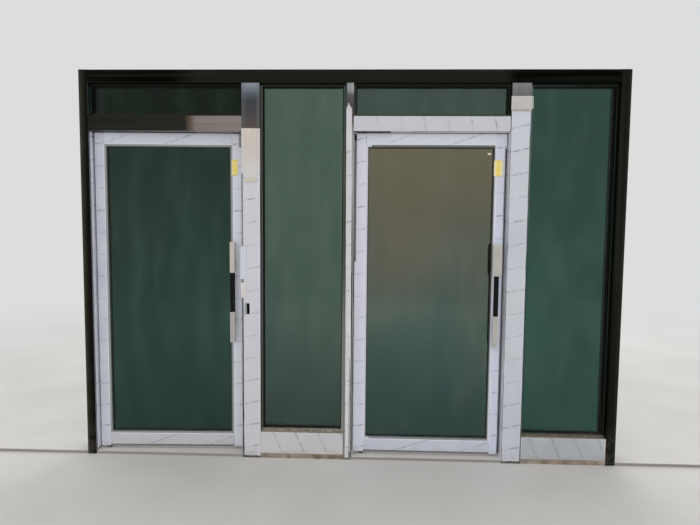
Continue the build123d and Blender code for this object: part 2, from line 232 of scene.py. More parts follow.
def bare_sheet(
    name, axis, reach, stops, lines, low=0.001, amount=1.0, bands=(), wobble=0.02, dusty=dust_colour,
):
    """Bare mirror steel whose tone changes along one axis, with mill lines and dust up to a height.

    A band is a place along the wall with full effect, one with none, a colour or stops, and a share.
    """
    made, shader, place = new_material(name, {})
    axes = split(place)
    shift = times(minus(cloud(place, 9.0), 0.5), wobble)
    from_start = minus(plus(axes[axis], shift), reach[0])
    share_along = maths("DIVIDE", from_start, reach[1] - reach[0])
    tone = ramp(share_along, stops)
    for full, none, band_tone, share in bands:
        band_colour = ramp(share_along, band_tone) if isinstance(band_tone, list) else band_tone
        tone = mixed(fade(axes[0], none, full, 0.0, share), tone, band_colour)
    streaks = use_group(grain, {"Place": place, "Stretch": lines})
    tone = mixed(fade(streaks["Broad"], 0.35, 0.75, 0.0, 0.3), tone, "3c3b36")
    mask = dusted(place, low, amount)
    link(
        shader,
        base_color=mixed(mask, tone, dusty),
        metallic=minus(1.0, mask),
        roughness=plus(fade(streaks["Fine"], 0.3, 0.7, 0.16, 0.26), mask, clamp=True),
        normal=bump(streaks["Fine"], 0.00002),
    )
    return made


def by_height(stops, low_end, high_end):
    """Stops at heights in metres as shares of a reach."""
    return [((height - low_end) / (high_end - low_end), tone) for height, tone in stops]


# Painted reflection: each jamb is lighter at its outer edge and near black towards the door, and the left
# jamb's inner side face carries a pale painted reflection.
jamb_tones = [(0.0, "4f5045"), (0.3, "302f28"), (0.6, "1d1b18"), (1.0, "0f0e0b")]
low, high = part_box("jamb_left")
side_face_reflection = [(high.x - 0.0002, high.x - 0.0012, "9a9da7", 0.95)]
jamb = bare_sheet("jamb_sheet_left", 0, (low.x, high.x), jamb_tones, lines_up, 0.3, 0.4, side_face_reflection)
wear(jamb, "jamb_left")
low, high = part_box("jamb_right")
right_jamb_tones = [(0.0, "32342d"), (0.3, "20221c"), (1.0, "191a15")]
wear(bare_sheet("jamb_sheet_right", 0, (high.x, low.x), right_jamb_tones, lines_up, 0.3, 0.4), "jamb_right")
low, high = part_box("header")
# Painted reflection: the header's bands of tone by height, its lighter left end and its darker right end.
header_tones = [(0.0, "060704"), (0.45, "0b0c08"), (0.55, "080906"), (1.0, "0a0b07")]
header_bands = [(-0.9, -1.15, "272820", 0.85), (1.03, 0.93, "090b07", 1.0)]
header = bare_sheet("header_sheet", 2, (low.z, high.z), header_tones, lines_along, bands=header_bands)
wear(header, "header")
low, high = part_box("transom_bar_left")
# Painted reflection: the pinkish-brown right third of the left transom bar.
bar_tones = [(0.0, "272823"), (0.63, "2e2f29"), (0.665, "6f5e52"), (0.70, "988c88"), (1.0, "9f948f")]
wear(bare_sheet("transom_bar_sheet", 0, (low.x, high.x), bar_tones, lines_along), "transom_bar_left")


# Mullion heads
# The three mullions are boxes of the same sheet. The film is peeled from their heads, where the bare
# mirror steel carries a painted reflection that turns from a light grey at the top to a brownish grey
# lower down, with lighter and darker painted reflection along their edges.
head_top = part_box("mullion_left")[1].z
left_tape_top = 2.117
middle_film_top = 2.272
right_tape_top = 2.315
flap_top = 1.29
# Painted reflection by height on the middle mullion's left edge and on the bead beside it.
edge_tones = [
    (0.0, "bbbbb8"), (0.2, "bbbbb8"), (0.4, "9fa4a3"), (0.66, "909691"), (0.85, "848784"), (1.14, "676b64"),
    (1.52, "4d584e"), (1.8, "606053"), (2.17, "4a5553"),
]
head_tones = {
    "mullion_left": [
        (0.0, "4c4c52"), (1.1, "56565c"), (1.35, "b5b6bc"), (1.79, "b5b6bc"), (left_tape_top, "685c5b"),
        (2.22, "504f54"), (2.29, "4e4f54"), (2.33, "666c78"), (2.36, "868c96"), (head_top, "a0a4ae"),
    ],
    "mullion_middle": [
        (0.0, "909196"), (0.2, "8c8d92"), (0.4, "78787a"), (0.66, "595d64"), (0.85, "3e3f45"),
        (1.14, "3e3f43"), (flap_top, "707275"), (1.52, "919295"), (1.8, "bdbebe"), (2.1, "a5a9a8"),
        (2.17, "6a5f5c"), (middle_film_top, "605957"), (2.32, "6d6a68"), (2.34, "9c9e9d"), (2.36, "b8bab9"),
        (head_top, "a8abaa"),
    ],
    "mullion_right": [
        (0.0, "6e6f6c"), (0.19, "9da1a4"), (0.38, "e6eef6"), (0.7, "ccd5e0"), (1.02, "adbabb"),
        (1.34, "8d9c9c"), (1.65, "91979f"), (1.97, "868f92"), (2.06, "868f92"), (2.1, "cfd9de"),
        (2.22, "cfd9de"), (2.24, "5b5a5b"), (right_tape_top, "7f7d7e"), (2.355, "8d8b8c"),
        (head_top, "9a999a"),
    ],
}
for head_name, tones in head_tones.items():
    low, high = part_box(head_name)
    # Painted reflection and highlight: the lighter and darker strips along the heads' edges.
    bands = {
        "mullion_left": [
            (low.x, low.x + 0.04, "7f8482", 0.35), (high.x - 0.004, high.x - 0.03, "7f8482", 0.45),
        ],
        "mullion_middle": [(low.x + 0.009, low.x + 0.011, by_height(edge_tones, 0.0, head_top), 1.0)],
        "mullion_right": [(low.x, low.x + 0.01, "545354", 0.6), (high.x, high.x - 0.01, "545354", 0.5)],
    }[head_name]
    stops = by_height(tones, 0.0, head_top)
    head = bare_sheet(f"{head_name}_sheet", 2, (0.0, head_top), stops, lines_up, 0.05, 1.0, bands, 0.008)
    wear(head, head_name)


# Right transom bar and base panels
# Boxes of the same sheet that are still in their film, so that only their ledges and ends show bare,
# brownish and dusty.
bar_under_film = [(0.0, "35332f"), (1.0, "3c3934")]
low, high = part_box("transom_bar_right")
wear(bare_sheet("film_bar_sheet", 0, (low.x, high.x), bar_under_film, lines_along), "transom_bar_right")
panel_foot_tones = [(0.0, "b4a99f"), (0.5, "ad9b8c"), (1.0, "b0a296")]
for panel_name in ("base_panel_middle", "base_panel_right"):
    low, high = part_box(panel_name)
    panel = bare_sheet(
        f"{panel_name}_sheet", 0, (low.x, high.x), panel_foot_tones, lines_along, 0.06, 1.3, dusty="b8aa9b",
    )
    wear(panel, panel_name)


# Protective film on the frame
# White polyethylene film with a grey-blue printed line every hand's breadth. It is laid round the
# members, holds air in soft blisters, turns whiter at its creases, has a painted highlight along its
# turned edges, and is torn and dirty near the ground.
film_pitch = 0.1455
dashes, print_in, print_out = new_group(
    "film_print",
    [("Along", "Float", 0.0), ("Across", "Float", 0.0), ("Spacing", "Float", film_pitch),
     ("Bold", "Float", 1.0)],
    [("Mask", "Float")],
)
print_turns = maths("DIVIDE", print_in["Along"], print_in["Spacing"])
print_row = maths("FLOOR", plus(print_turns, 0.5))
print_random = fed("ShaderNodeTexWhiteNoise", {"W": print_row}, noise_dimensions="1D").outputs[0]
print_away = minus(print_turns, print_row)
print_letters = fed("ShaderNodeCombineXYZ", {0: print_in["Across"], 1: print_row}).outputs[0]
print_letters = minus(cloud(print_letters, 70.0, 1.0), 0.5)
print_offset = times(print_away, print_in["Spacing"])
print_offset = plus(print_offset, times(print_letters, 0.016))
print_distance = maths("DIVIDE", maths("ABSOLUTE", print_offset), print_in["Bold"])
print_line = fade(print_distance, 0.0062, 0.0036)
print_dash = plus(maths("DIVIDE", print_in["Across"], 0.0125), print_random)
print_dash = fade(maths("FRACT", print_dash), 0.2, 0.3)
print_rows_apart = times(print_row, 3.7)
print_spot = fed("ShaderNodeCombineXYZ", {0: print_in["Across"], 1: print_rows_apart}).outputs[0]
print_there = fade(cloud(print_spot, 26.0, 1.0), 0.38, 0.6, 0.22, 1.0)
print_strength = fade(print_random, 0.0, 1.0, 0.4, 0.9)
print_ink = times(times(print_line, print_dash), print_strength)
dashes.links.new(times(print_ink, print_there), print_out["Mask"])

creases, creases_in, creases_out = new_group(
    "film_creases",
    [("Place", "Vector", None), ("Scale", "Float", 1.0)],
    [("Height", "Float"), ("Tone", "Float"), ("Fold", "Float")],
)
creases_scaled = {0: creases_in["Place"], "Scale": creases_in["Scale"]}
creases_place = fed("ShaderNodeVectorMath", creases_scaled, operation="SCALE").outputs[0]
creases_soft = cloud(creases_place, 38.0, 3.0)
creases_warp = fed("ShaderNodeTexNoise", {"Vector": creases_place, "Scale": 12.0, "Detail": 2.0})
creases_shift = {0: creases_warp.outputs["Color"], 1: (0.09, 0.09, 0.09), 2: creases_place}
creases_warped = fed("ShaderNodeVectorMath", creases_shift, operation="MULTIPLY_ADD").outputs[0]
creases_cells = fed(
    "ShaderNodeTexVoronoi", {"Vector": creases_warped, "Scale": 17.0}, feature="DISTANCE_TO_EDGE",
)
creases_line = fade(creases_cells.outputs["Distance"], 0.05, 0.0)
creases_where = fade(cloud(creases_place, 6.0), 0.48, 0.62)
creases_fold = times(creases_line, creases_where)
creases_height = plus(creases_soft, times(creases_fold, 0.3))
creases.links.new(creases_height, creases_out["Height"])
creases.links.new(cloud(creases_place, 3.2, 3.0), creases_out["Tone"])
creases.links.new(creases_fold, creases_out["Fold"])

film_ink = "5d627c"
film_cool = "c5cbc9"
film_dirt = "8f8473"
film_edge_highlight = "e9e9ea"


def film(
    name, high_tone, low_tone, row, middle, lean=0.2, spacing=film_pitch, level=False, low=0.1, amount=1.1,
    bold=1.0,
):
    """Printed white film. One of its print rows crosses the member's middle line at row, and it leans."""
    made, shader, place = new_material(name, {"Coat Weight": 0.2, "Coat Roughness": 0.3})
    axes = split(place)
    side = plus(axes[0], axes[1])
    first, second = (side, axes[2]) if level else (axes[2], side)
    across = minus(second, middle)
    leaning = times(across, lean)
    along = minus(minus(first, row), leaning)
    lines = {"Along": along, "Across": across, "Spacing": spacing, "Bold": bold}
    ink = use_group(dashes, lines)["Mask"]
    folds = use_group(creases, {"Place": place})
    mask = dusted(place, low, amount)
    patches = times(minus(folds["Tone"], 0.5), 5.0)
    share_high = fade(plus(axes[2], patches), 0.2, 2.0)
    tone = mixed(share_high, low_tone, high_tone)
    tone = mixed(fade(cloud(place, 5.0), 0.45, 0.65, 0.0, 0.25), tone, film_cool)
    tone = mixed(times(folds["Fold"], 0.06), tone, "ffffff")
    tone = mixed(times(ink, 0.85), tone, film_ink)
    # Painted highlight along the sheet's turned edges, in patches.
    edge = add(shader.id_data, "ShaderNodeAttribute", attribute_name="edge").outputs["Fac"]
    edge_there = fade(cloud(place, 7.0), 0.3, 0.6, 0.35, 0.8)
    tone = mixed(times(edge, edge_there), tone, film_edge_highlight)
    tone = mixed(mask, tone, film_dirt)
    link(
        shader,
        base_color=tone,
        roughness=plus(fade(folds["Tone"], 0.3, 0.7, 0.32, 0.44), mask, clamp=True),
        normal=bump(folds["Height"], 0.0005, 0.6),
    )
    return made


film_thickness = 0.00025
edge_gap = 0.0012
edge_width = 0.0045
tight = 0.012


def new_piece(name, vertices, faces, material):
    """A mesh object in the scene."""
    mesh = bpy.data.meshes.new(name)
    mesh.from_pydata(vertices, [], faces)
    mesh.materials.append(material)
    made = bpy.data.objects.new(name, mesh)
    bpy.context.scene.collection.objects.link(made)
    return made


def upright(a, b, along):
    """Place of a point on an upright of the frame."""
    return Vector((a, b, along))


def level(a, b, along):
    """Place of a point on a level member of the frame."""
    return Vector((along, a, b))


def walk(path, step, closed):
    """Points along a section: place, outward normal, share of slack and share of the folded edge."""
    corners = [Vector(point) for point in path]
    if closed:
        corners.append(corners[0])
    points = []
    runs = [(start, end - start) for start, end in zip(corners, corners[1:])]
    ways = [run.normalized() for _, run in runs]
    for i, (start, run) in enumerate(runs):
        length = run.length
        way = ways[i]
        outward = Vector((way.y, -way.x))
        flat_start = i > 0 and way.dot(ways[i - 1]) > 0.99
        flat_end = i < len(ways) - 1 and way.dot(ways[i + 1]) > 0.99
        inner = length - 2 * edge_width
        if inner > 0.0:
            count = max(1, math.ceil(inner / step))
            inside = [edge_width + inner * i / count for i in range(count + 1)]
            distances = [edge_gap, *inside, length - edge_gap]
        else:
            distances = [edge_gap, length / 2, length - edge_gap]
        for distance in distances:
            near = min(tight if flat_start else distance, tight if flat_end else length - distance)
            edge = max(0.0, (edge_width - near) / (edge_width - edge_gap))
            points.append((start + way * distance, outward, min(1.0, near / tight), edge))
    return points


def lay_sheet(
    name, path, reach, material, place=upright, body="frame", step=0.014, lift=0.0004,
    swell=0.0012, torn=(0.0, 0.0), curl=0.0, hole=None, closed=False, seed=0.0, wavy=0.0, frayed=0.045,
    lean=0.0, tip=None,
):
    """A thin sheet laid on a member: its section path, its reach along it, and how it is placed."""
    points = walk(path, step, closed)
    wide = len(points)
    rows = max(2, round((reach[1] - reach[0]) / step))
    levels = [reach[0] + (reach[1] - reach[0]) * i / rows for i in range(rows + 1)]
    levels += [reach[0] + edge_width, reach[1] - edge_width]
    if hole:
        levels += [hole[2], hole[3]]
    levels.sort()
    vertices = []
    edges = []
    for height in levels:
        from_start, from_end = height - reach[0], reach[1] - height
        start_pull = max(0.0, 1.0 - from_start / frayed) ** 2
        end_pull = max(0.0, 1.0 - from_end / frayed) ** 2
        end_edge = max(0.0, 1.0 - min(from_start, from_end) / edge_width)
        for i, (spot, outward, slack, edge) in enumerate(points):
            sample = Vector((spot.x * 21 + seed, spot.y * 21, height * 13))
            blister = max(0.0, noise.noise(sample)) ** 1.5 * swell * slack
            ragged = 0.5 + noise.noise(Vector((spot.x * 55 + seed, spot.y * 55, 4.7)))
            away = lift + blister + curl * (start_pull * (torn[0] > 0) + end_pull * (torn[1] > 0)) * ragged
            along = height + torn[0] * ragged * start_pull - torn[1] * ragged * end_pull
            spot_out = spot + outward * away + Vector((lean * (reach[1] - height), 0.0))
            if tip is not None:
                along -= abs(spot.x - tip) * 2.4 * end_pull
            if not closed and i in (0, wide - 1):
                sway = noise.noise(Vector((height * 9, seed, i)))
                sway += 0.5 * noise.noise(Vector((height * 40, seed, i)))
                spot_out += Vector((-outward.y, outward.x)) * wavy * sway
            vertices.append(place(spot_out.x, spot_out.y, along))
            edges.append(max(edge, end_edge))
    faces = []
    for i in range(len(levels) - 1):
        for j in range(wide if closed else wide - 1):
            k = (j + 1) % wide
            middle = (points[j][0] + points[k][0]) / 2
            height = (levels[i] + levels[i + 1]) / 2
            if hole and hole[0] < middle.x < hole[1] and hole[2] < height < hole[3] and middle.y < 0:
                continue
            faces.append((i * wide + j, i * wide + k, (i + 1) * wide + k, (i + 1) * wide + j))
    made = new_piece(name, vertices, faces, material)
    made.data.attributes.new("edge", "FLOAT", "POINT").data.foreach_set("value", edges)
    made.data.shade_smooth()
    shell = made.modifiers.new("thickness", "SOLIDIFY")
    shell.thickness = film_thickness
    shell.offset = 1.0
    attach(made, body)
    return made


frame_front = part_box("mullion_left")[0].y
frame_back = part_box("mullion_left")[1].y
film_low = 0.012


def mullion_film(name, high_tone, low_tone, row):
    """Film of one mullion, with a print row at this height."""
    corner, far_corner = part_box(name.removesuffix("_side"))
    middle = (corner.x + far_corner.x) / 2 + frame_front
    return film(f"film_{name}", high_tone, low_tone, row, middle, lean=0.22)


low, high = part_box("mullion_left")
cutout = (low.x + 0.0165, low.x + 0.0455, 0.943, 1.013)
left_tape_foot = 1.789
strip_return = 0.009
bare_edge = 0.007
left_film = mullion_film("mullion_left", "c5c4cb", "c6c4c9", 1.240)
lay_sheet(
    "film_mullion_left",
    [(low.x + bare_edge, frame_front), (cutout[0], frame_front), (cutout[1], frame_front),
     (high.x, frame_front), (high.x, frame_front + strip_return)],
    (film_low, left_tape_foot + 0.06), left_film, torn=(0.006, 0.0), curl=0.004, hole=cutout, seed=1.0,
    wavy=0.002,
)
lay_sheet(
    "film_scrap_mullion_left",
    [(cutout[0] - 0.004, frame_front - 0.0012), (cutout[0] + 0.013, frame_front + 0.002)],
    (cutout[2] + 0.002, cutout[3] + 0.004), film("film_scrap", "8b958f", "7f8983", 2.5, low.x), step=0.005,
    swell=0.003, torn=(0.008, 0.006), curl=0.002, seed=1.5, wavy=0.003, frayed=0.03,
)
low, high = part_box("mullion_middle")
middle_film = mullion_film("mullion_middle", "c3c2c5", "d0cfd1", 1.101)
narrow_film_top = 0.66
lay_sheet(
    "film_mullion_middle", [(low.x + 0.003, frame_front), (high.x - 0.011, frame_front)],
    (narrow_film_top, middle_film_top + 0.022), middle_film, torn=(0.0, 0.03), curl=0.006, seed=2.0,
    step=0.009, wavy=0.001, frayed=0.07, lean=0.0042, tip=low.x + 0.018,
)
lay_sheet(
    "film_mullion_middle_foot", [(low.x + 0.010, frame_front), (high.x - 0.014, frame_front)],
    (film_low, narrow_film_top + 0.006), middle_film, torn=(0.006, 0.004), curl=0.004, seed=2.4, step=0.011,
    wavy=0.001,
)
# A loose strip of film written grey as painted shade along the middle mullion's right edge low down.
lay_sheet(
    "film_strip_mullion_middle",
    [(high.x - 0.015, frame_front - 0.0008), (high.x - 0.004, frame_front - 0.0004)],
    (0.05, narrow_film_top + 0.02), film("film_strip", "9d9ca6", "958f90", 2.5, high.x),
    torn=(0.006, 0.012), curl=0.002, seed=2.7, step=0.008, wavy=0.002,
)
low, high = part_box("mullion_right")
right_tape_foot = 2.228
lay_sheet(
    "film_mullion_right", [(low.x + 0.001, frame_front), (high.x - 0.004, frame_front)],
    (film_low, right_tape_foot + 0.01), mullion_film("mullion_right", "c3c6ce", "bcbfc6", 1.115),
    torn=(0.006, 0.0), curl=0.004, seed=3.0, wavy=0.002,
)
# Painted light: the side film is written brighter than the front film to offset the shade in the narrow gap
# beside the leaf.
side_film_brightened = mullion_film("mullion_right_side", "e3e6ef", "dcdfe8", 1.115)
lay_sheet(
    "film_side_mullion_right_brightened", [(low.x, frame_back), (low.x, frame_front + 0.001)],
    (film_low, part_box("transom_bar_right")[0].z - 0.001), side_film_brightened, seed=3.4,
)
low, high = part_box("transom_bar_right")
bar_middle = (low.z + high.z) / 2
bar_row = 0.465 + frame_front
bar_tilt = -0.2
bar_film = film("film_transom_bar", "bebfc5", "b8b7bb", bar_row, bar_middle, bar_tilt, level=True, low=0.001)
lip_start = 0.255
lip_depth = 0.045
bar_bottom_lip = (frame_front + lip_depth, low.z)
lay_sheet(
    "film_transom_bar", [(frame_front, high.z), (frame_front, low.z)], (low.x + 0.001, high.x - 0.004),
    bar_film, place=level, seed=4.3,
)
# Painted light: the film under the bar is written near white to offset the shade under the bar.
lay_sheet(
    "film_transom_bar_lip", [(frame_front + 0.0005, low.z), bar_bottom_lip], (lip_start, high.x - 0.004),
    film("film_lip_brightened", "f1f1f6", "f1f1f6", 3.0, bar_middle), place=level, seed=4.4, wavy=0.002, swell=0.0004,
)
lay_sheet(
    "film_transom_bar_inside", [(frame_back, low.z), (frame_back, high.z)], (low.x + 0.001, high.x - 0.001),
    bar_film, place=level, seed=4.6,
)
panel_film_low = 0.031
for panel_name, tones, panel_row, panel_lean, seed in (
    ("base_panel_middle", ("c2c0c0", "c0bfbf"), -0.305, -0.45, 5.0),
    ("base_panel_right", ("acafb4", "a8abb0"), 1.335, -0.4, 6.0),
):
    low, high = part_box(panel_name)
    panel_middle = (panel_film_low + high.z) / 2
    panel_film = film(
        f"film_{panel_name}_sheet", *tones, panel_row + frame_front, panel_middle, lean=panel_lean,
        level=True, low=0.09, amount=0.9, bold=1.5,
    )
    lay_sheet(
        f"film_{panel_name}", [(frame_front, high.z), (frame_front, panel_film_low)],
        (low.x + 0.002, high.x - 0.002), panel_film, place=level, seed=seed, swell=0.002, wavy=0.0015,
    )
low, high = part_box("jamb_left")
jamb_film_reach = (0.03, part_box("transom_bar_left")[0].z - 0.001)
# Painted light: the film on the left jamb's inner side face is written brighter, most at its foot, to offset
# the shade there, and the lifted strip near its front edge is a painted highlight.
lay_sheet(
    "film_jamb_left", [(high.x, frame_front + 0.028), (high.x, frame_back - 0.01)], jamb_film_reach,
    film("film_jamb", "c2c5d2", "e2e4ea", 1.2, high.x), seed=7.0, wavy=0.002,
)
lay_sheet(
    "film_edge_jamb_left", [(high.x + 0.0006, frame_front + 0.012), (high.x + 0.0026, frame_front + 0.040)],
    jamb_film_reach, film("film_jamb_edge", "e3e5f0", "dcdee8", 1.2, high.x), seed=7.5, wavy=0.0015,
    step=0.01,
)


# Cream tapes on the mullions
# Broad cream masking tape over the film's upper ends: a long wrinkled band down the left mullion, with a
# narrower strip on it whose end is folded back, and a short band on the right mullion. Lower down, two
# flaps of film and paper stand out past the left mullion's edge.
def tape(name, cool, warm, low_tone=None, sheen=0.45):
    """Creped paper tape, in a third tone at its lower end if one is given."""
    made, shader, place = new_material(name, {"Roughness": sheen})
    folds = use_group(creases, {"Place": place, "Scale": 1.6})
    crepe = cloud(stretched(place, (0.35, 0.35, 1.0)), 420.0, 3.0)
    tone = mixed(fade(folds["Tone"], 0.35, 0.65), cool, warm)
    if low_tone:
        height = split(place)[2]
        tone = mixed(fade(height, 1.96, 1.86), tone, low_tone)
    # Painted shade in the creases, and a painted highlight along the edges.
    tone = mixed(times(folds["Fold"], 0.2), tone, "9c9488")
    edge = add(shader.id_data, "ShaderNodeAttribute", attribute_name="edge").outputs["Fac"]
    tone = mixed(times(edge, 0.35), tone, "e4e1db")
    height = plus(folds["Height"], times(crepe, 0.25))
    link(shader, base_color=tone, normal=bump(height, 0.0008, 0.7))
    return made


low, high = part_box("mullion_left")
lay_sheet(
    "tape_mullion_left",
    [(low.x, frame_front + 0.02), (low.x, frame_front),
     (high.x, frame_front), (high.x, frame_front + 0.012)],
    (left_tape_foot + 0.04, left_tape_top), tape("left_tape", "c3bfbc", "c4beb9", "c6c4c2"), lift=0.0012,
    swell=0.0018, torn=(0.012, 0.003), curl=0.001, seed=11.0, wavy=0.001,
)
lay_sheet(
    "tape_strip_left", [(low.x + 0.019, frame_front - 0.0022), (high.x - 0.017, frame_front - 0.0022)],
    (left_tape_foot, left_tape_top - 0.004), tape("left_tape_strip", "c4bbb4", "c8bdb3", "c8c5c1"),
    step=0.008, swell=0.0028, torn=(0.003, 0.002), curl=0.002, seed=11.5, wavy=0.0015,
)
lay_sheet(
    "tape_fold_left", [(low.x + 0.024, frame_front - 0.0042), (high.x - 0.024, frame_front - 0.0042)],
    (left_tape_foot - 0.006, left_tape_foot + 0.021), tape("yellowed_tape", "c6c0a8", "bbb49b"),
    step=0.006, swell=0.003, torn=(0.005, 0.003), curl=0.003, seed=12.0, wavy=0.002, frayed=0.012,
)
low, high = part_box("mullion_right")
short_tape = tape("short_tape", "b9b6b1", "beb9b4")
lay_sheet(
    "tape_mullion_right",
    [(low.x, frame_front + 0.004), (low.x, frame_front),
     (high.x, frame_front), (high.x, frame_front + 0.002)],
    (right_tape_foot, right_tape_top), short_tape, lift=0.0016, swell=0.001, torn=(0.0, 0.001), seed=13.0,
    wavy=0.001,
)
lay_sheet(
    "tape_end_right", [(high.x - 0.004, frame_front + 0.0004), (high.x + 0.013, frame_front + 0.0016)],
    (right_tape_foot + 0.012, right_tape_top - 0.001), tape("tape_end", "a4aba4", "9aa39c"), step=0.005,
    swell=0.001, torn=(0.003, 0.002), curl=0.001, seed=13.5, wavy=0.002,
)
# The folded lower end of the right tape is written darker, partly as painted shade under its edge.
lay_sheet(
    "tape_fold_right", [(low.x, frame_front - 0.003), (high.x - 0.008, frame_front - 0.003)],
    (right_tape_foot - 0.004, right_tape_foot + 0.01), tape("folded_tape_shade", "a9a49c", "9f9991"),
    step=0.006, swell=0.002, torn=(0.003, 0.0), curl=0.002, seed=14.0, wavy=0.002, frayed=0.01,
)
low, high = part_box("mullion_left")
for flap_name, flap_reach, flap_tape, flap_out in (
    ("flap_long", (1.165, 1.38), tape("flap_film", "bfc3cf", "c6c9d3"), 0.012),
    ("flap_short", (1.045, 1.15), tape("flap_paper", "c8c4c1", "cccac6"), 0.010),
):
    lay_sheet(
        f"{flap_name}_mullion_left",
        [(low.x - flap_out, frame_front - 0.0028), (low.x + 0.029, frame_front - 0.0012)], flap_reach,
        flap_tape, step=0.006, swell=0.002, torn=(0.006, 0.005), curl=0.001, seed=15.0 + flap_out,
        wavy=0.003, frayed=0.03,
    )


# Glass
# Sealed double glazing of dark green solar glass. The panes are clear and glossy, with faint wiping
# marks on them; their colour changes with height and from pane to pane as a painted reflection of the
# surroundings.
def green_glass(name, high_tone, low_tone, glare="b8bdba"):
    """Body-tinted glass whose colour changes with height as a painted reflection, with faint wiping marks.
    """
    plain = {"Transmission Weight": 1.0, "IOR": 1.5, "Roughness": 0.0, "Specular Tint": glare}
    made, shader, place = new_material(name, plain)
    height = split(place)[2]
    wide = cloud(stretched(place, (1.0, 1.0, 0.45)), 1.1)
    share = plus(height, times(minus(wide, 0.5), 2.5))
    marks = fade(cloud(stretched(place, (1.0, 1.0, 0.3)), 9.0, 4.0), 0.4, 0.7, 0.0, 0.1)
    body = mixed(fade(share, 0.3, 2.0), low_tone, high_tone)
    link(
        shader,
        base_color=mixed(marks, body, "c4ccc8"),
    )
    return made


# Painted reflection: the tones at the top and foot of each pane.
glass_reflection_tones = {
    "side_light_middle": ("8fa095", "859891"),
    "side_light_right": ("6a8a81", "739890"),
    "transom_light_left": ("34523f", "34523f", "a2a6a3"),
    "transom_light_right": ("82918b", "82918b"),
    "leaf_left": ("5a7268", "65847e"),
    "leaf_right": ("a9a495", "809895"),
}
lights = [name for name in glass_reflection_tones if "light" in name]
for glazed_name, tones in glass_reflection_tones.items():
    wear(green_glass(f"green_glass_{glazed_name}", *tones), f"{glazed_name}_glass")


# Gaskets, spacers and beads of the lights
# Black rubber gaskets and mill-finish aluminium spacers. The fixed lights are held by folded beads of
# bare sheet, brownish with dust on their ledges, whose tones along their sides are painted reflection.
def rubber(name, tone, dusty, amount, beyond=None):
    """Matt rubber with dust in it, in another tone beyond a place along the wall if one is given."""
    made, shader, place = new_material(name, {"Specular IOR Level": 0.3})
    mask = dusted(place, 0.4, amount)
    mottle = fade(cloud(place, 60.0, 3.0), 0.3, 0.7)
    base = mixed(mottle, tone, dusty)
    if beyond:
        along = split(place)[0]
        base = mixed(fade(along, beyond[0], beyond[0] + 0.01), base, beyond[1])
    link(
        shader,
        base_color=mixed(mask, base, dust_colour),
        roughness=fade(mottle, 0.0, 1.0, 0.55, 0.72),
        normal=bump(cloud(place, 700.0), 0.00005),
    )
    return made


wear(rubber("gasket_rubber", "0b0b0a", "16170f", 0.35), *[f"{light}_gaskets" for light in lights])
wear(rubber("leaf_gasket_rubber", "33352f", "45463f", 0.5), "leaf_left_gaskets", "leaf_right_gaskets")

for tone, worn, spaced in (
    ("8f9190", "b4b6b5", ("leaf_left_spacer", "leaf_right_spacer")),
    ("2c2e2c", "3a3c3a", ("fixed_light_spacers",)),
):
    spacer, shader, place = new_material(f"aluminium_{spaced[0]}", {"Metallic": 1.0})
    lines = use_group(grain, {"Place": place, "Stretch": (0.2, 0.2, 0.2)})
    link(
        shader,
        base_color=mixed(lines["Broad"], tone, worn),
        roughness=fade(lines["Fine"], 0.2, 0.8, 0.3, 0.45),
    )
    wear(spacer, *spaced)

bead_face = 0.014
bead_dirt = "b4aea3"
# Painted reflection: the tones by height along each bead's sides; the foot tones are dust.
bead_tones = {
    "side_light_middle": ("232b23", "d2cdc4", 1.2, edge_tones, [
        (0.19, "717170"), (1.0, "66696a"), (1.65, "5b5a57"),
    ]),
    "side_light_right": ("1e2820", "97988f", 0.7, [(0.19, "353d33"), (2.3, "2f3a31")], [
        (0.19, "636863"), (0.38, "384a52"), (1.0, "364b43"), (1.34, "3c504c"), (1.65, "64736f"),
        (2.2, "697573"),
    ]),
    "transom_light_left": ("1a201a", "2a2d28", 0.1, [(2.2, "191e19"), (2.3, "191e19")], [
        (2.2, "33413a"), (2.3, "2b372f"),
    ]),
    "transom_light_right": ("242c25", "566059", 0.1, [(2.2, "20241c"), (2.3, "20241c")], [
        (2.2, "3b4140"), (2.3, "373d3c"),
    ]),
}
for light, (top_tone, foot_tone, bead_dust, right_tones, left_tones) in bead_tones.items():
    low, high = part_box(f"{light}_beads")
    foot, head = low.z + bead_face, high.z - bead_face
    ends = [[(low.z, foot_tone), (foot, foot_tone)], [(head, top_tone), (high.z, top_tone)]]
    sides = []
    for side_tones in (right_tones, left_tones):
        between = [(height, tone) for height, tone in side_tones if foot + 0.01 < height < head - 0.01]
        near_foot, near_head = (foot + 0.003, side_tones[0][1]), (head - 0.003, side_tones[-1][1])
        sides.append(by_height([*ends[0], near_foot, *between, near_head, *ends[1]], low.z, high.z))
    left_band = [((low.x + high.x) / 2 - 0.001, (low.x + high.x) / 2 + 0.001, sides[1], 1.0)]
    beads = bare_sheet(
        f"{light}_bead_sheet", 2, (low.z, high.z), sides[0], lines_up, 0.24, bead_dust, left_band,
        wobble=0.0, dusty=bead_dirt,
    )
    wear(beads, f"{light}_beads")


# Feet, floor springs and covers
# Steel foot plates inside the members, cast closer bodies let into the floor, and their sheet covers,
# which are grey-white with dried mortar. The pivots, spindles, arms and bushes are plain steel.
def dull_metal(name, tone, worn, metallic, low, amount):
    """Plain sawn, turned or cast metal with mortar on it."""
    made, shader, place = new_material(name, {})
    lines = use_group(grain, {"Place": place, "Stretch": (0.1, 1.0, 0.6)})
    mask = dusted(place, low, amount)
    base = mixed(fade(lines["Broad"], 0.3, 0.7), tone, worn)
    link(
        shader,
        base_color=mixed(mask, base, "c3bdb2"),
        metallic=times(minus(1.0, mask), metallic),
        roughness=plus(fade(lines["Fine"], 0.3, 0.7, 0.34, 0.5), mask, clamp=True),
        normal=bump(plus(lines["Fine"], mask), 0.0001),
    )
    return made


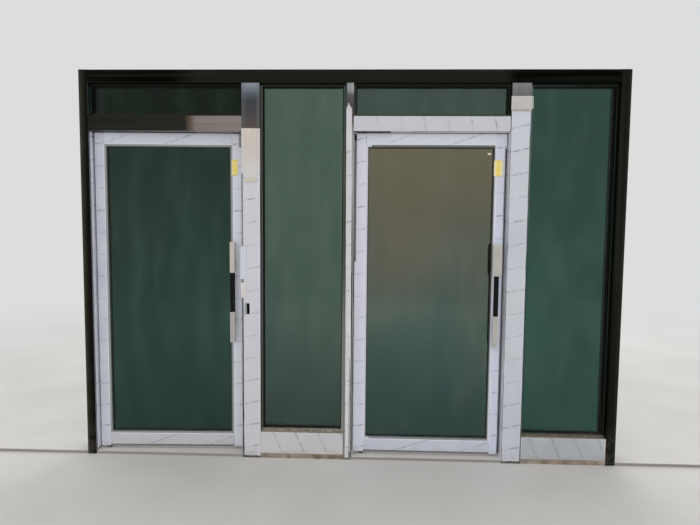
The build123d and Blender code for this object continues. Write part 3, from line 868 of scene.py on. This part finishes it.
wear(dull_metal("foot_steel", "55534e", "6b655c", 0.9, 0.05, 1.0), "foot_plates")
casting = dull_metal("closer_casting", "4b4a48", "5f5c58", 0.2, 0.05, 1.0)
wear(casting, "floor_spring_left", "floor_spring_right")
wear(dull_metal("cover_sheet", "dcdad6", "e6e1de", 0.1, 0.2, 0.5), "floor_cover_left", "floor_cover_right")
pivot_steel = dull_metal("pivot_steel", "6f6f6f", "8b8b8a", 1.0, 0.06, 0.6)
for side in ("left", "right"):
    wear(pivot_steel, f"top_pivot_{side}", f"spindle_{side}", f"bottom_arm_{side}", f"top_bush_{side}")


# Leaves
# Each leaf is a welded ring of two stiles and two rails, still in its film. The left leaf stands ajar
# in its doorway, the right one is shut.
leaf_half = 0.0225
leaf_pitch = 0.1425
ajar = {"left": math.radians(2.1), "right": 0.0}
pivots = {joint["child"].split("_")[1]: Vector(joint["pos_m"]) for joint in frame["joints"]}


def on_leaf(side, flat=False):
    """How a point is placed on a leaf: along it from its pivot, across it and up."""
    turn = ajar[side]
    pivot = pivots[side]

    def place(a, b, c):
        along, across, up = (c, a, b) if flat else (a, b, c)
        x = pivot.x + along * math.cos(turn) - across * math.sin(turn)
        y = pivot.y + along * math.sin(turn) + across * math.cos(turn)
        return Vector((x, y, up))

    return place


def leaf_film(part, side, along, high_tone, low_tone, row, lean):
    """Film of one member of a leaf, with a print row at this height, so far along the leaf."""
    spot = on_leaf(side)(along, -leaf_half, row)
    tones = (high_tone, low_tone)
    return film(f"film_{part}_{side}", *tones, row, spot.x + spot.y, lean, leaf_pitch, low=0.12, amount=0.8)


leaf_tones = [(0.0, "a09fa4"), (0.0215, "a3a2a7"), (0.0225, "85868b"), (0.5, "8f9096"), (1.0, "8b8b90")]
leaf_bare = bare_sheet("leaf_sheet", 2, (0.0, 2.1), leaf_tones, lines_up, 0.04, 0.5, wobble=0.0)
hinge_edge = -0.045
stile_width = 0.059
leaf_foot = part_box("hinge_stile_right")[0].z
leaf_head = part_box("hinge_stile_right")[1].z
rail_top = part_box("bottom_rail_right")[1].z
head_rail_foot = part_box("top_rail_right")[0].z
bare_foot = 0.012
stile_film_top = 2.011
lock_edges = {}
# Painted light: the leaf films are written lighter than the frame's film, and some stiles lighter still
# lower down, to offset the shade of the frame's overhang and the dimmer light near the floor.
films = {
    "left": {
        "hinge": ("b7bac6", "c2c5cd", 1.172, 0.1), "lock": ("d0d0da", "d1d3dd", 1.176, 0.1),
        "top": ("c6cad6", "c6cad6", 2.0565, 0.34), "bottom": ("bbbbbf", "bbbbbf", 0.1053, 0.34),
    },
    "right": {
        "hinge": ("d2cfdb", "d1d4e0", 1.206, 0.2), "lock": ("cacad8", "cacfe1", 1.157, 0.12),
        "top": ("ced1db", "ced1db", 2.0538, 0.34), "bottom": ("c0c4d0", "bdc1cd", 0.0987, 0.34),
    },
}
rail_rows = {"left": {"top": 0.4906, "bottom": 0.4292}, "right": {"top": 0.6206, "bottom": 0.3682}}
lock_film_short = {"left": 0.0, "right": 0.007}
head_flap = {"left": -0.015, "right": 0.004}
for side in ("left", "right"):
    members = [f"{name}_{side}" for name in ("hinge_stile", "lock_stile", "top_rail", "bottom_rail")]
    wear(leaf_bare, *members)
    body = f"leaf_{side}"
    turn = ajar[side]
    reach_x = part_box(f"lock_stile_{side}")[1].x - pivots[side].x
    lock_edge = (reach_x - leaf_half * math.sin(turn)) / math.cos(turn)
    lock_edges[side] = lock_edge
    hinge_inner = hinge_edge + stile_width
    lock_inner = lock_edge - stile_width
    tones = films[side]
    lock_ring = [(lock_edge, leaf_half), (lock_inner, leaf_half), (lock_inner, -leaf_half)]
    hinge_film = leaf_film("hinge_stile", side, hinge_edge + stile_width / 2, *tones["hinge"])
    lock_film = leaf_film("lock_stile", side, lock_edge - stile_width / 2, *tones["lock"])
    top_film = leaf_film("top_rail", side, rail_rows[side]["top"], *tones["top"])
    bottom_film = leaf_film("bottom_rail", side, rail_rows[side]["bottom"], *tones["bottom"])
    lay_sheet(
        f"film_hinge_stile_{side}",
        [(hinge_edge, -leaf_half), (hinge_inner, -leaf_half),
         (hinge_inner, leaf_half), (hinge_edge, leaf_half)],
        (leaf_foot + 0.002, leaf_head - 0.001), hinge_film, place=on_leaf(side), body=body, closed=True,
        seed=20.0 + lock_edge, step=0.013,
    )
    lay_sheet(
        f"film_lock_stile_{side}", [*lock_ring, (lock_edge - lock_film_short[side], -leaf_half)],
        (leaf_foot + 0.002, stile_film_top), lock_film, place=on_leaf(side), body=body,
        seed=22.0 + lock_edge, step=0.013, torn=(0.0, 0.004), wavy=0.002,
    )
    lay_sheet(
        f"film_lock_stile_head_{side}", [*lock_ring, (lock_edge + head_flap[side], -leaf_half)],
        (stile_film_top - 0.008, leaf_head - 0.001), lock_film, place=on_leaf(side), body=body,
        seed=24.0 + lock_edge, step=0.013, lift=0.0009, torn=(0.004, 0.0), wavy=0.001,
    )
    lay_sheet(
        f"film_top_rail_{side}",
        [(-leaf_half, leaf_head), (-leaf_half, head_rail_foot),
         (leaf_half, head_rail_foot), (leaf_half, leaf_head)],
        (hinge_inner + 0.001, lock_inner - 0.001), top_film, place=on_leaf(side, flat=True), body=body,
        seed=26.0 + lock_edge, step=0.013, closed=True,
    )
    lay_sheet(
        f"film_bottom_rail_{side}",
        [(leaf_half, leaf_foot + bare_foot), (leaf_half, rail_top),
         (-leaf_half, rail_top), (-leaf_half, leaf_foot + bare_foot)],
        (hinge_inner + 0.001, lock_inner - 0.001), bottom_film, place=on_leaf(side, flat=True), body=body,
        seed=28.0 + lock_edge, step=0.013, wavy=0.001,
    )
lay_sheet(
    "film_flap_hinge_stile_right",
    [(hinge_edge - 0.011, -leaf_half - 0.0016), (hinge_edge + 0.008, -leaf_half - 0.0008)],
    (leaf_foot + 0.01, flap_top), leaf_film("flap", "right", hinge_edge, "dcdce6", "d4d5dd", 1.206, 0.2),
    place=on_leaf("right"), body="leaf_right", step=0.008, swell=0.001, torn=(0.002, 0.03), seed=30.0,
    wavy=0.002,
)


# Leaf beads and edge seals
# Narrow folded beads hold the panes. The stiles' film still runs over the right leaf's upright beads and
# over the left leaf's bead on its lock side, and the other beads are bare, grey and dull. Rubber bulb
# seals line both upright edges of each leaf, with a soft plug over each upper end.
bead_coat = {"Coat Weight": 0.15, "Coat Roughness": 0.3}
bare_beads = {"left": (-1.595, 0.87, "8a908f", "888e8e"), "right": (0.526, 0.385, "868a8f", "646463")}
for side, (bare_middle, bare_half, foot_tone, head_tone) in bare_beads.items():
    made, shader, place = new_material(f"bead_film_{side}", bead_coat)
    axes = split(place)
    away = maths("ABSOLUTE", minus(axes[0], bare_middle))
    blotch = fade(cloud(place, 25.0, 3.0), 0.3, 0.7)
    dull = mixed(fade(axes[2], 0.3, 1.9), foot_tone, head_tone)
    mask = dusted(place, 0.2, 0.3)
    tone = mixed(fade(away, bare_half, bare_half + 0.004), dull, "c5c7d0")
    link(
        shader,
        base_color=mixed(mask, tone, dust_colour),
        roughness=fade(blotch, 0.0, 1.0, 0.35, 0.5),
        normal=bump(blotch, 0.0002, 0.5),
    )
    wear(made, f"leaf_{side}_beads")
wear(rubber("seal_rubber", "a0a0a8", "b0b0b7", 0.8), "edge_seals_left")
# Painted shade: the right leaf's seals are darkest beyond the middle of the leaf, on its lock side, in the
# gap beside the mullion.
wear(rubber("seal_rubber_right_gap_shade", "84848b", "94949b", 0.8, (0.5, "3c3c46")), "edge_seals_right")
plug_rubber = rubber("plug_rubber", "121214", "1d1d20", 0.2)
seal_radius = 0.004


def corner_plug(name, side, edge, reach, bottom, top):
    """Soft plug over a seal's cut end: the seal's own outline, from the stile out to its bulb."""
    way = 1.0 if reach > edge else -1.0
    bulb = reach - way * seal_radius
    turns = [math.radians(-90 + 180 * i / 12) for i in range(13)]
    outline = [(edge, -seal_radius), *[
        (bulb + way * seal_radius * math.cos(turn), seal_radius * math.sin(turn)) for turn in turns
    ], (edge, seal_radius)]
    place = on_leaf(side)
    count = len(outline)
    vertices = [place(along, across, height) for height in (bottom, top) for along, across in outline]
    faces = [(i, (i + 1) % count, count + (i + 1) % count, count + i) for i in range(count)]
    faces += [tuple(range(count))[::-1], tuple(range(count, 2 * count))]
    if way < 0:
        faces = [face[::-1] for face in faces]
    made = new_piece(name, vertices, faces, plug_rubber)
    rounded = made.modifiers.new("rounded", "BEVEL")
    rounded.width = 0.0006
    rounded.segments = 2
    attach(made, f"leaf_{side}")


seal_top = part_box("edge_seals_right")[1].z
plug_reach = (seal_top + 0.0005, leaf_head - 0.002)
for side in ("left", "right"):
    seal_low, seal_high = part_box(f"edge_seals_{side}")
    turn = ajar[side]
    hinge_reach = (seal_low.x - pivots[side].x) / math.cos(turn)
    lock_reach = (seal_high.x - pivots[side].x) / math.cos(turn)
    corner_plug(f"plug_hinge_{side}", side, hinge_edge, hinge_reach + 0.0004, *plug_reach)
    corner_plug(f"plug_lock_{side}", side, lock_edges[side], lock_reach - 0.0004, *plug_reach)


# Pulls
# Flat steel bars on standoffs at both faces of the lock stiles. Their ends are still wrapped in
# crumpled beige paper and tape, and a black grip is sleeved over the middle.
bar_steel = dull_metal("pull_steel", "a9a49a", "bcb7ac", 1.0, 0.0, 0.0)
grip_coat = {"Specular IOR Level": 0.15}
grip_material, grip_shader, grip_place = new_material("grip_plastic", grip_coat)
grip_mottle = cloud(grip_place, 500.0, 2.0)
grip_wear = fade(cloud(grip_place, 20.0, 4.0), 0.55, 0.7)
link(
    grip_shader,
    base_color=mixed(grip_wear, "08090d", "121318"),
    roughness=fade(grip_wear, 0.0, 1.0, 0.42, 0.55),
    normal=bump(grip_mottle, 0.00008),
)
wrap_tones = {
    "left": {"top": ("bcb7af", "b9b0a6"), "foot": ("a8a39e", "a39e99")},
    "right": {"top": ("b2afa7", "a29f98"), "foot": ("b3b1a8", "a5a49b")},
}
loose = {("right", "top"): (0.009, 0.014)}
wrap_reaches = {"top": ((1.206, 1.4035), (0.004, 0.0)), "foot": ((0.7545, 0.952), (0.0, 0.004))}
pull_nears = {"outside": -0.0845, "inside": 0.0665}
pull_thickness = 0.018
pull_half_wide = 0.0145
pull_inset = 0.052
for side in ("left", "right"):
    wear(bar_steel, f"pulls_{side}", f"pull_studs_{side}")
    wear(grip_material, f"pull_grips_{side}")
    along = lock_edges[side] - pull_inset
    for face, near in pull_nears.items():
        far = near + pull_thickness
        for wrap, (reach, torn) in wrap_reaches.items():
            slack = loose.get((side, wrap), (0.0, 0.0))
            start, end = along - pull_half_wide - slack[0], along + pull_half_wide + slack[1]
            ring = [(start, near), (end, near), (end, far), (start, far)]
            wrap_paper = tape(f"wrap_paper_{wrap}_{side}", *wrap_tones[side][wrap], sheen=0.6)
            lay_sheet(
                f"wrap_{wrap}_{face}_{side}", ring, reach, wrap_paper, place=on_leaf(side),
                body=f"leaf_{side}", step=0.007, lift=0.0006, swell=0.0035, torn=torn,
                closed=True, seed=31.0 + near + reach[0],
            )


# Stickers
# A plain yellow paper sticker with a deeper stripe on the upper part of each lock stile, left on from the
# workshop, and a small cream tag on the right leaf's glass.
def paper(name, tone, worn, band=None):
    """Paper with rubbed patches, blank but for a stripe if one is given: its middle, half and colour."""
    made, shader, place = new_material(name, {"Roughness": 0.55})
    folds = use_group(creases, {"Place": place, "Scale": 2.0})
    rubbed = fade(cloud(place, 55.0, 4.0), 0.45, 0.7)
    base = tone
    if band:
        along = split(place)[0]
        from_middle = maths("ABSOLUTE", minus(along, band[0]))
        base = mixed(fade(from_middle, band[1] + 0.006, band[1]), base, band[2])
    link(
        shader,
        base_color=mixed(rubbed, base, worn),
        normal=bump(folds["Height"], 0.0003, 0.6),
    )
    return made


sticker_reach = (1.831, 1.932)
sticker_face = -leaf_half - 0.0012
for side, from_lock, to_lock, stripe, stripe_half in (
    ("left", 0.066, 0.021, 0.043, 0.012), ("right", 0.076, 0.016, 0.048, 0.010),
):
    stripe_middle = on_leaf(side)(lock_edges[side] - stripe, -leaf_half, 0.0).x
    sticker_paper = paper(f"yellow_paper_{side}", "e2dab2", "dfcf9c", (stripe_middle, stripe_half, "ecd05f"))
    lay_sheet(
        f"sticker_{side}",
        [(lock_edges[side] - from_lock, sticker_face), (lock_edges[side] - to_lock, sticker_face)],
        sticker_reach, sticker_paper, place=on_leaf(side), body=f"leaf_{side}", step=0.006, lift=0.0002,
        swell=0.0012, curl=0.001, torn=(0.001, 0.001), seed=41.0, wavy=0.001,
    )
pane_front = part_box("leaf_right_glass")[0].y
lay_sheet(
    "glass_tag_right", [(0.778, pane_front - 0.0001), (0.803, pane_front - 0.0001)], (1.9665, 1.9785),
    paper("tag_paper", "dcd6bf", "cfc9b4"), place=on_leaf("right"), body="leaf_right", step=0.006,
    lift=0.0001, swell=0.0003, seed=42.0,
)


# Studio
# A plain pale floor that is a little higher inside, a pale backdrop, and soft light from the camera's side
# and from behind. The floor's upright faces are painted darker as shade.
floor_level = 0.0
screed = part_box("floor_cover_left")[0].z
floor_material, floor_shader, floor_place = new_material("studio_floor", {"Roughness": 0.85})
floor_tree = floor_shader.id_data
floor_tone = fade(cloud(floor_place, 1.5, 3.0), 0.3, 0.7)
floor_colour = mixed(floor_tone, "cfccc6", "d6d3ce")
floor_normal = add(floor_tree, "ShaderNodeNewGeometry").outputs["Normal"]
floor_faces = split(floor_normal)[2]
# Painted shade: upright faces of the floor, such as the step inside, are darker than its top.
link(floor_shader, base_color=mixed(floor_faces, "8d8a84", floor_colour))
backdrop_colour = "dcdddd"
fade_start = 2.5
fade_end = 9.0


def seen_directly(tree):
    """Share of 1 for what the camera sees, straight, through the glass or mirrored."""
    light_path = tree.nodes.new("ShaderNodeLightPath").outputs
    through = maths("MAXIMUM", light_path["Is Camera Ray"], light_path["Is Transmission Ray"])
    return maths("MAXIMUM", through, light_path["Is Glossy Ray"])


floor_away = fed("ShaderNodeVectorMath", {0: floor_place}, operation="LENGTH").outputs["Value"]
floor_fade = fade(floor_away, fade_start, fade_end)
floor_far = times(floor_fade, seen_directly(floor_tree))
floor_glow = add(floor_tree, "ShaderNodeEmission", {"Color": backdrop_colour, "Strength": 1.0})
floor_blend = {0: floor_far, 1: floor_shader.outputs[0], 2: floor_glow.outputs[0]}
floor_mix = add(floor_tree, "ShaderNodeMixShader", floor_blend)
floor_tree.links.new(floor_mix.outputs[0], floor_tree.nodes["Material Output"].inputs[0])


def slab(name, low_corner, high_corner):
    """A level block of the studio floor."""
    corners = [(x, y, z) for x in (low_corner[0], high_corner[0]) for y in (low_corner[1], high_corner[1])
               for z in (low_corner[2], high_corner[2])]
    faces = [(0, 1, 3, 2), (4, 6, 7, 5), (0, 4, 5, 1), (2, 3, 7, 6), (0, 2, 6, 4), (1, 5, 7, 3)]
    new_piece(name, corners, faces, floor_material)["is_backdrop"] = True


floor_reach = 30.0
slab("studio_floor", (-floor_reach, -floor_reach, -0.3), (floor_reach, floor_reach, floor_level))
slab("studio_inside", (-floor_reach, frame_front + 0.004, -0.2), (floor_reach, floor_reach, screed))

scene = bpy.context.scene
world = bpy.data.worlds.new("studio")
scene.world = world
world.use_nodes = True
world.node_tree.nodes.clear()
seen = seen_directly(world.node_tree)
room = add(world.node_tree, "ShaderNodeBackground", {"Color": "f0f1f4", "Strength": 1.05})
backdrop = add(world.node_tree, "ShaderNodeBackground", {"Color": backdrop_colour, "Strength": 1.0})
sky = add(world.node_tree, "ShaderNodeMixShader", {0: seen, 1: room.outputs[0], 2: backdrop.outputs[0]})
add(world.node_tree, "ShaderNodeOutputWorld", {"Surface": sky.outputs[0]})


def lamp(name, place, target, size, power):
    """A square soft lamp aimed at a point, which no pane mirrors or shows."""
    light = bpy.data.lights.new(name, "AREA")
    light.size = size
    light.energy = power
    made = bpy.data.objects.new(name, light)
    made.location = place
    made.rotation_euler = (Vector(target) - Vector(place)).to_track_quat("-Z", "Y").to_euler()
    made.visible_glossy = False
    made.visible_transmission = False
    bpy.context.scene.collection.objects.link(made)


lamp("key", (-0.8, -7.5, 1.9), (0.0, 0.0, 1.1), 4.5, 135.0)
lamp("back", (1.5, 7.0, 3.6), (0.0, 0.0, 1.0), 4.0, 150.0)

eye = Vector((0.119, -3.389, 1.516))
yaw, pitch, roll = math.radians(1.89), math.radians(4.03), math.radians(0.52)
focal_pixels = 526.0
photo_width = 700.0
sensor = 36.0
right = Vector((math.cos(yaw), math.sin(yaw), 0.0))
ahead = Vector((-math.sin(yaw) * math.cos(pitch), math.cos(yaw) * math.cos(pitch), -math.sin(pitch)))
above = right.cross(ahead)
camera_x = right * math.cos(roll) + above * math.sin(roll)
camera_y = above * math.cos(roll) - right * math.sin(roll)
camera_data = bpy.data.cameras.new("camera")
camera_data.sensor_width = sensor
camera_data.lens = sensor * focal_pixels / photo_width
camera = bpy.data.objects.new("camera", camera_data)
columns = zip(camera_x, camera_y, -ahead, eye)
camera.matrix_world = Matrix([*columns, (0.0, 0.0, 0.0, 1.0)])
scene.collection.objects.link(camera)
scene.camera = camera
scene.view_settings.view_transform = "Standard"

low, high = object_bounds()
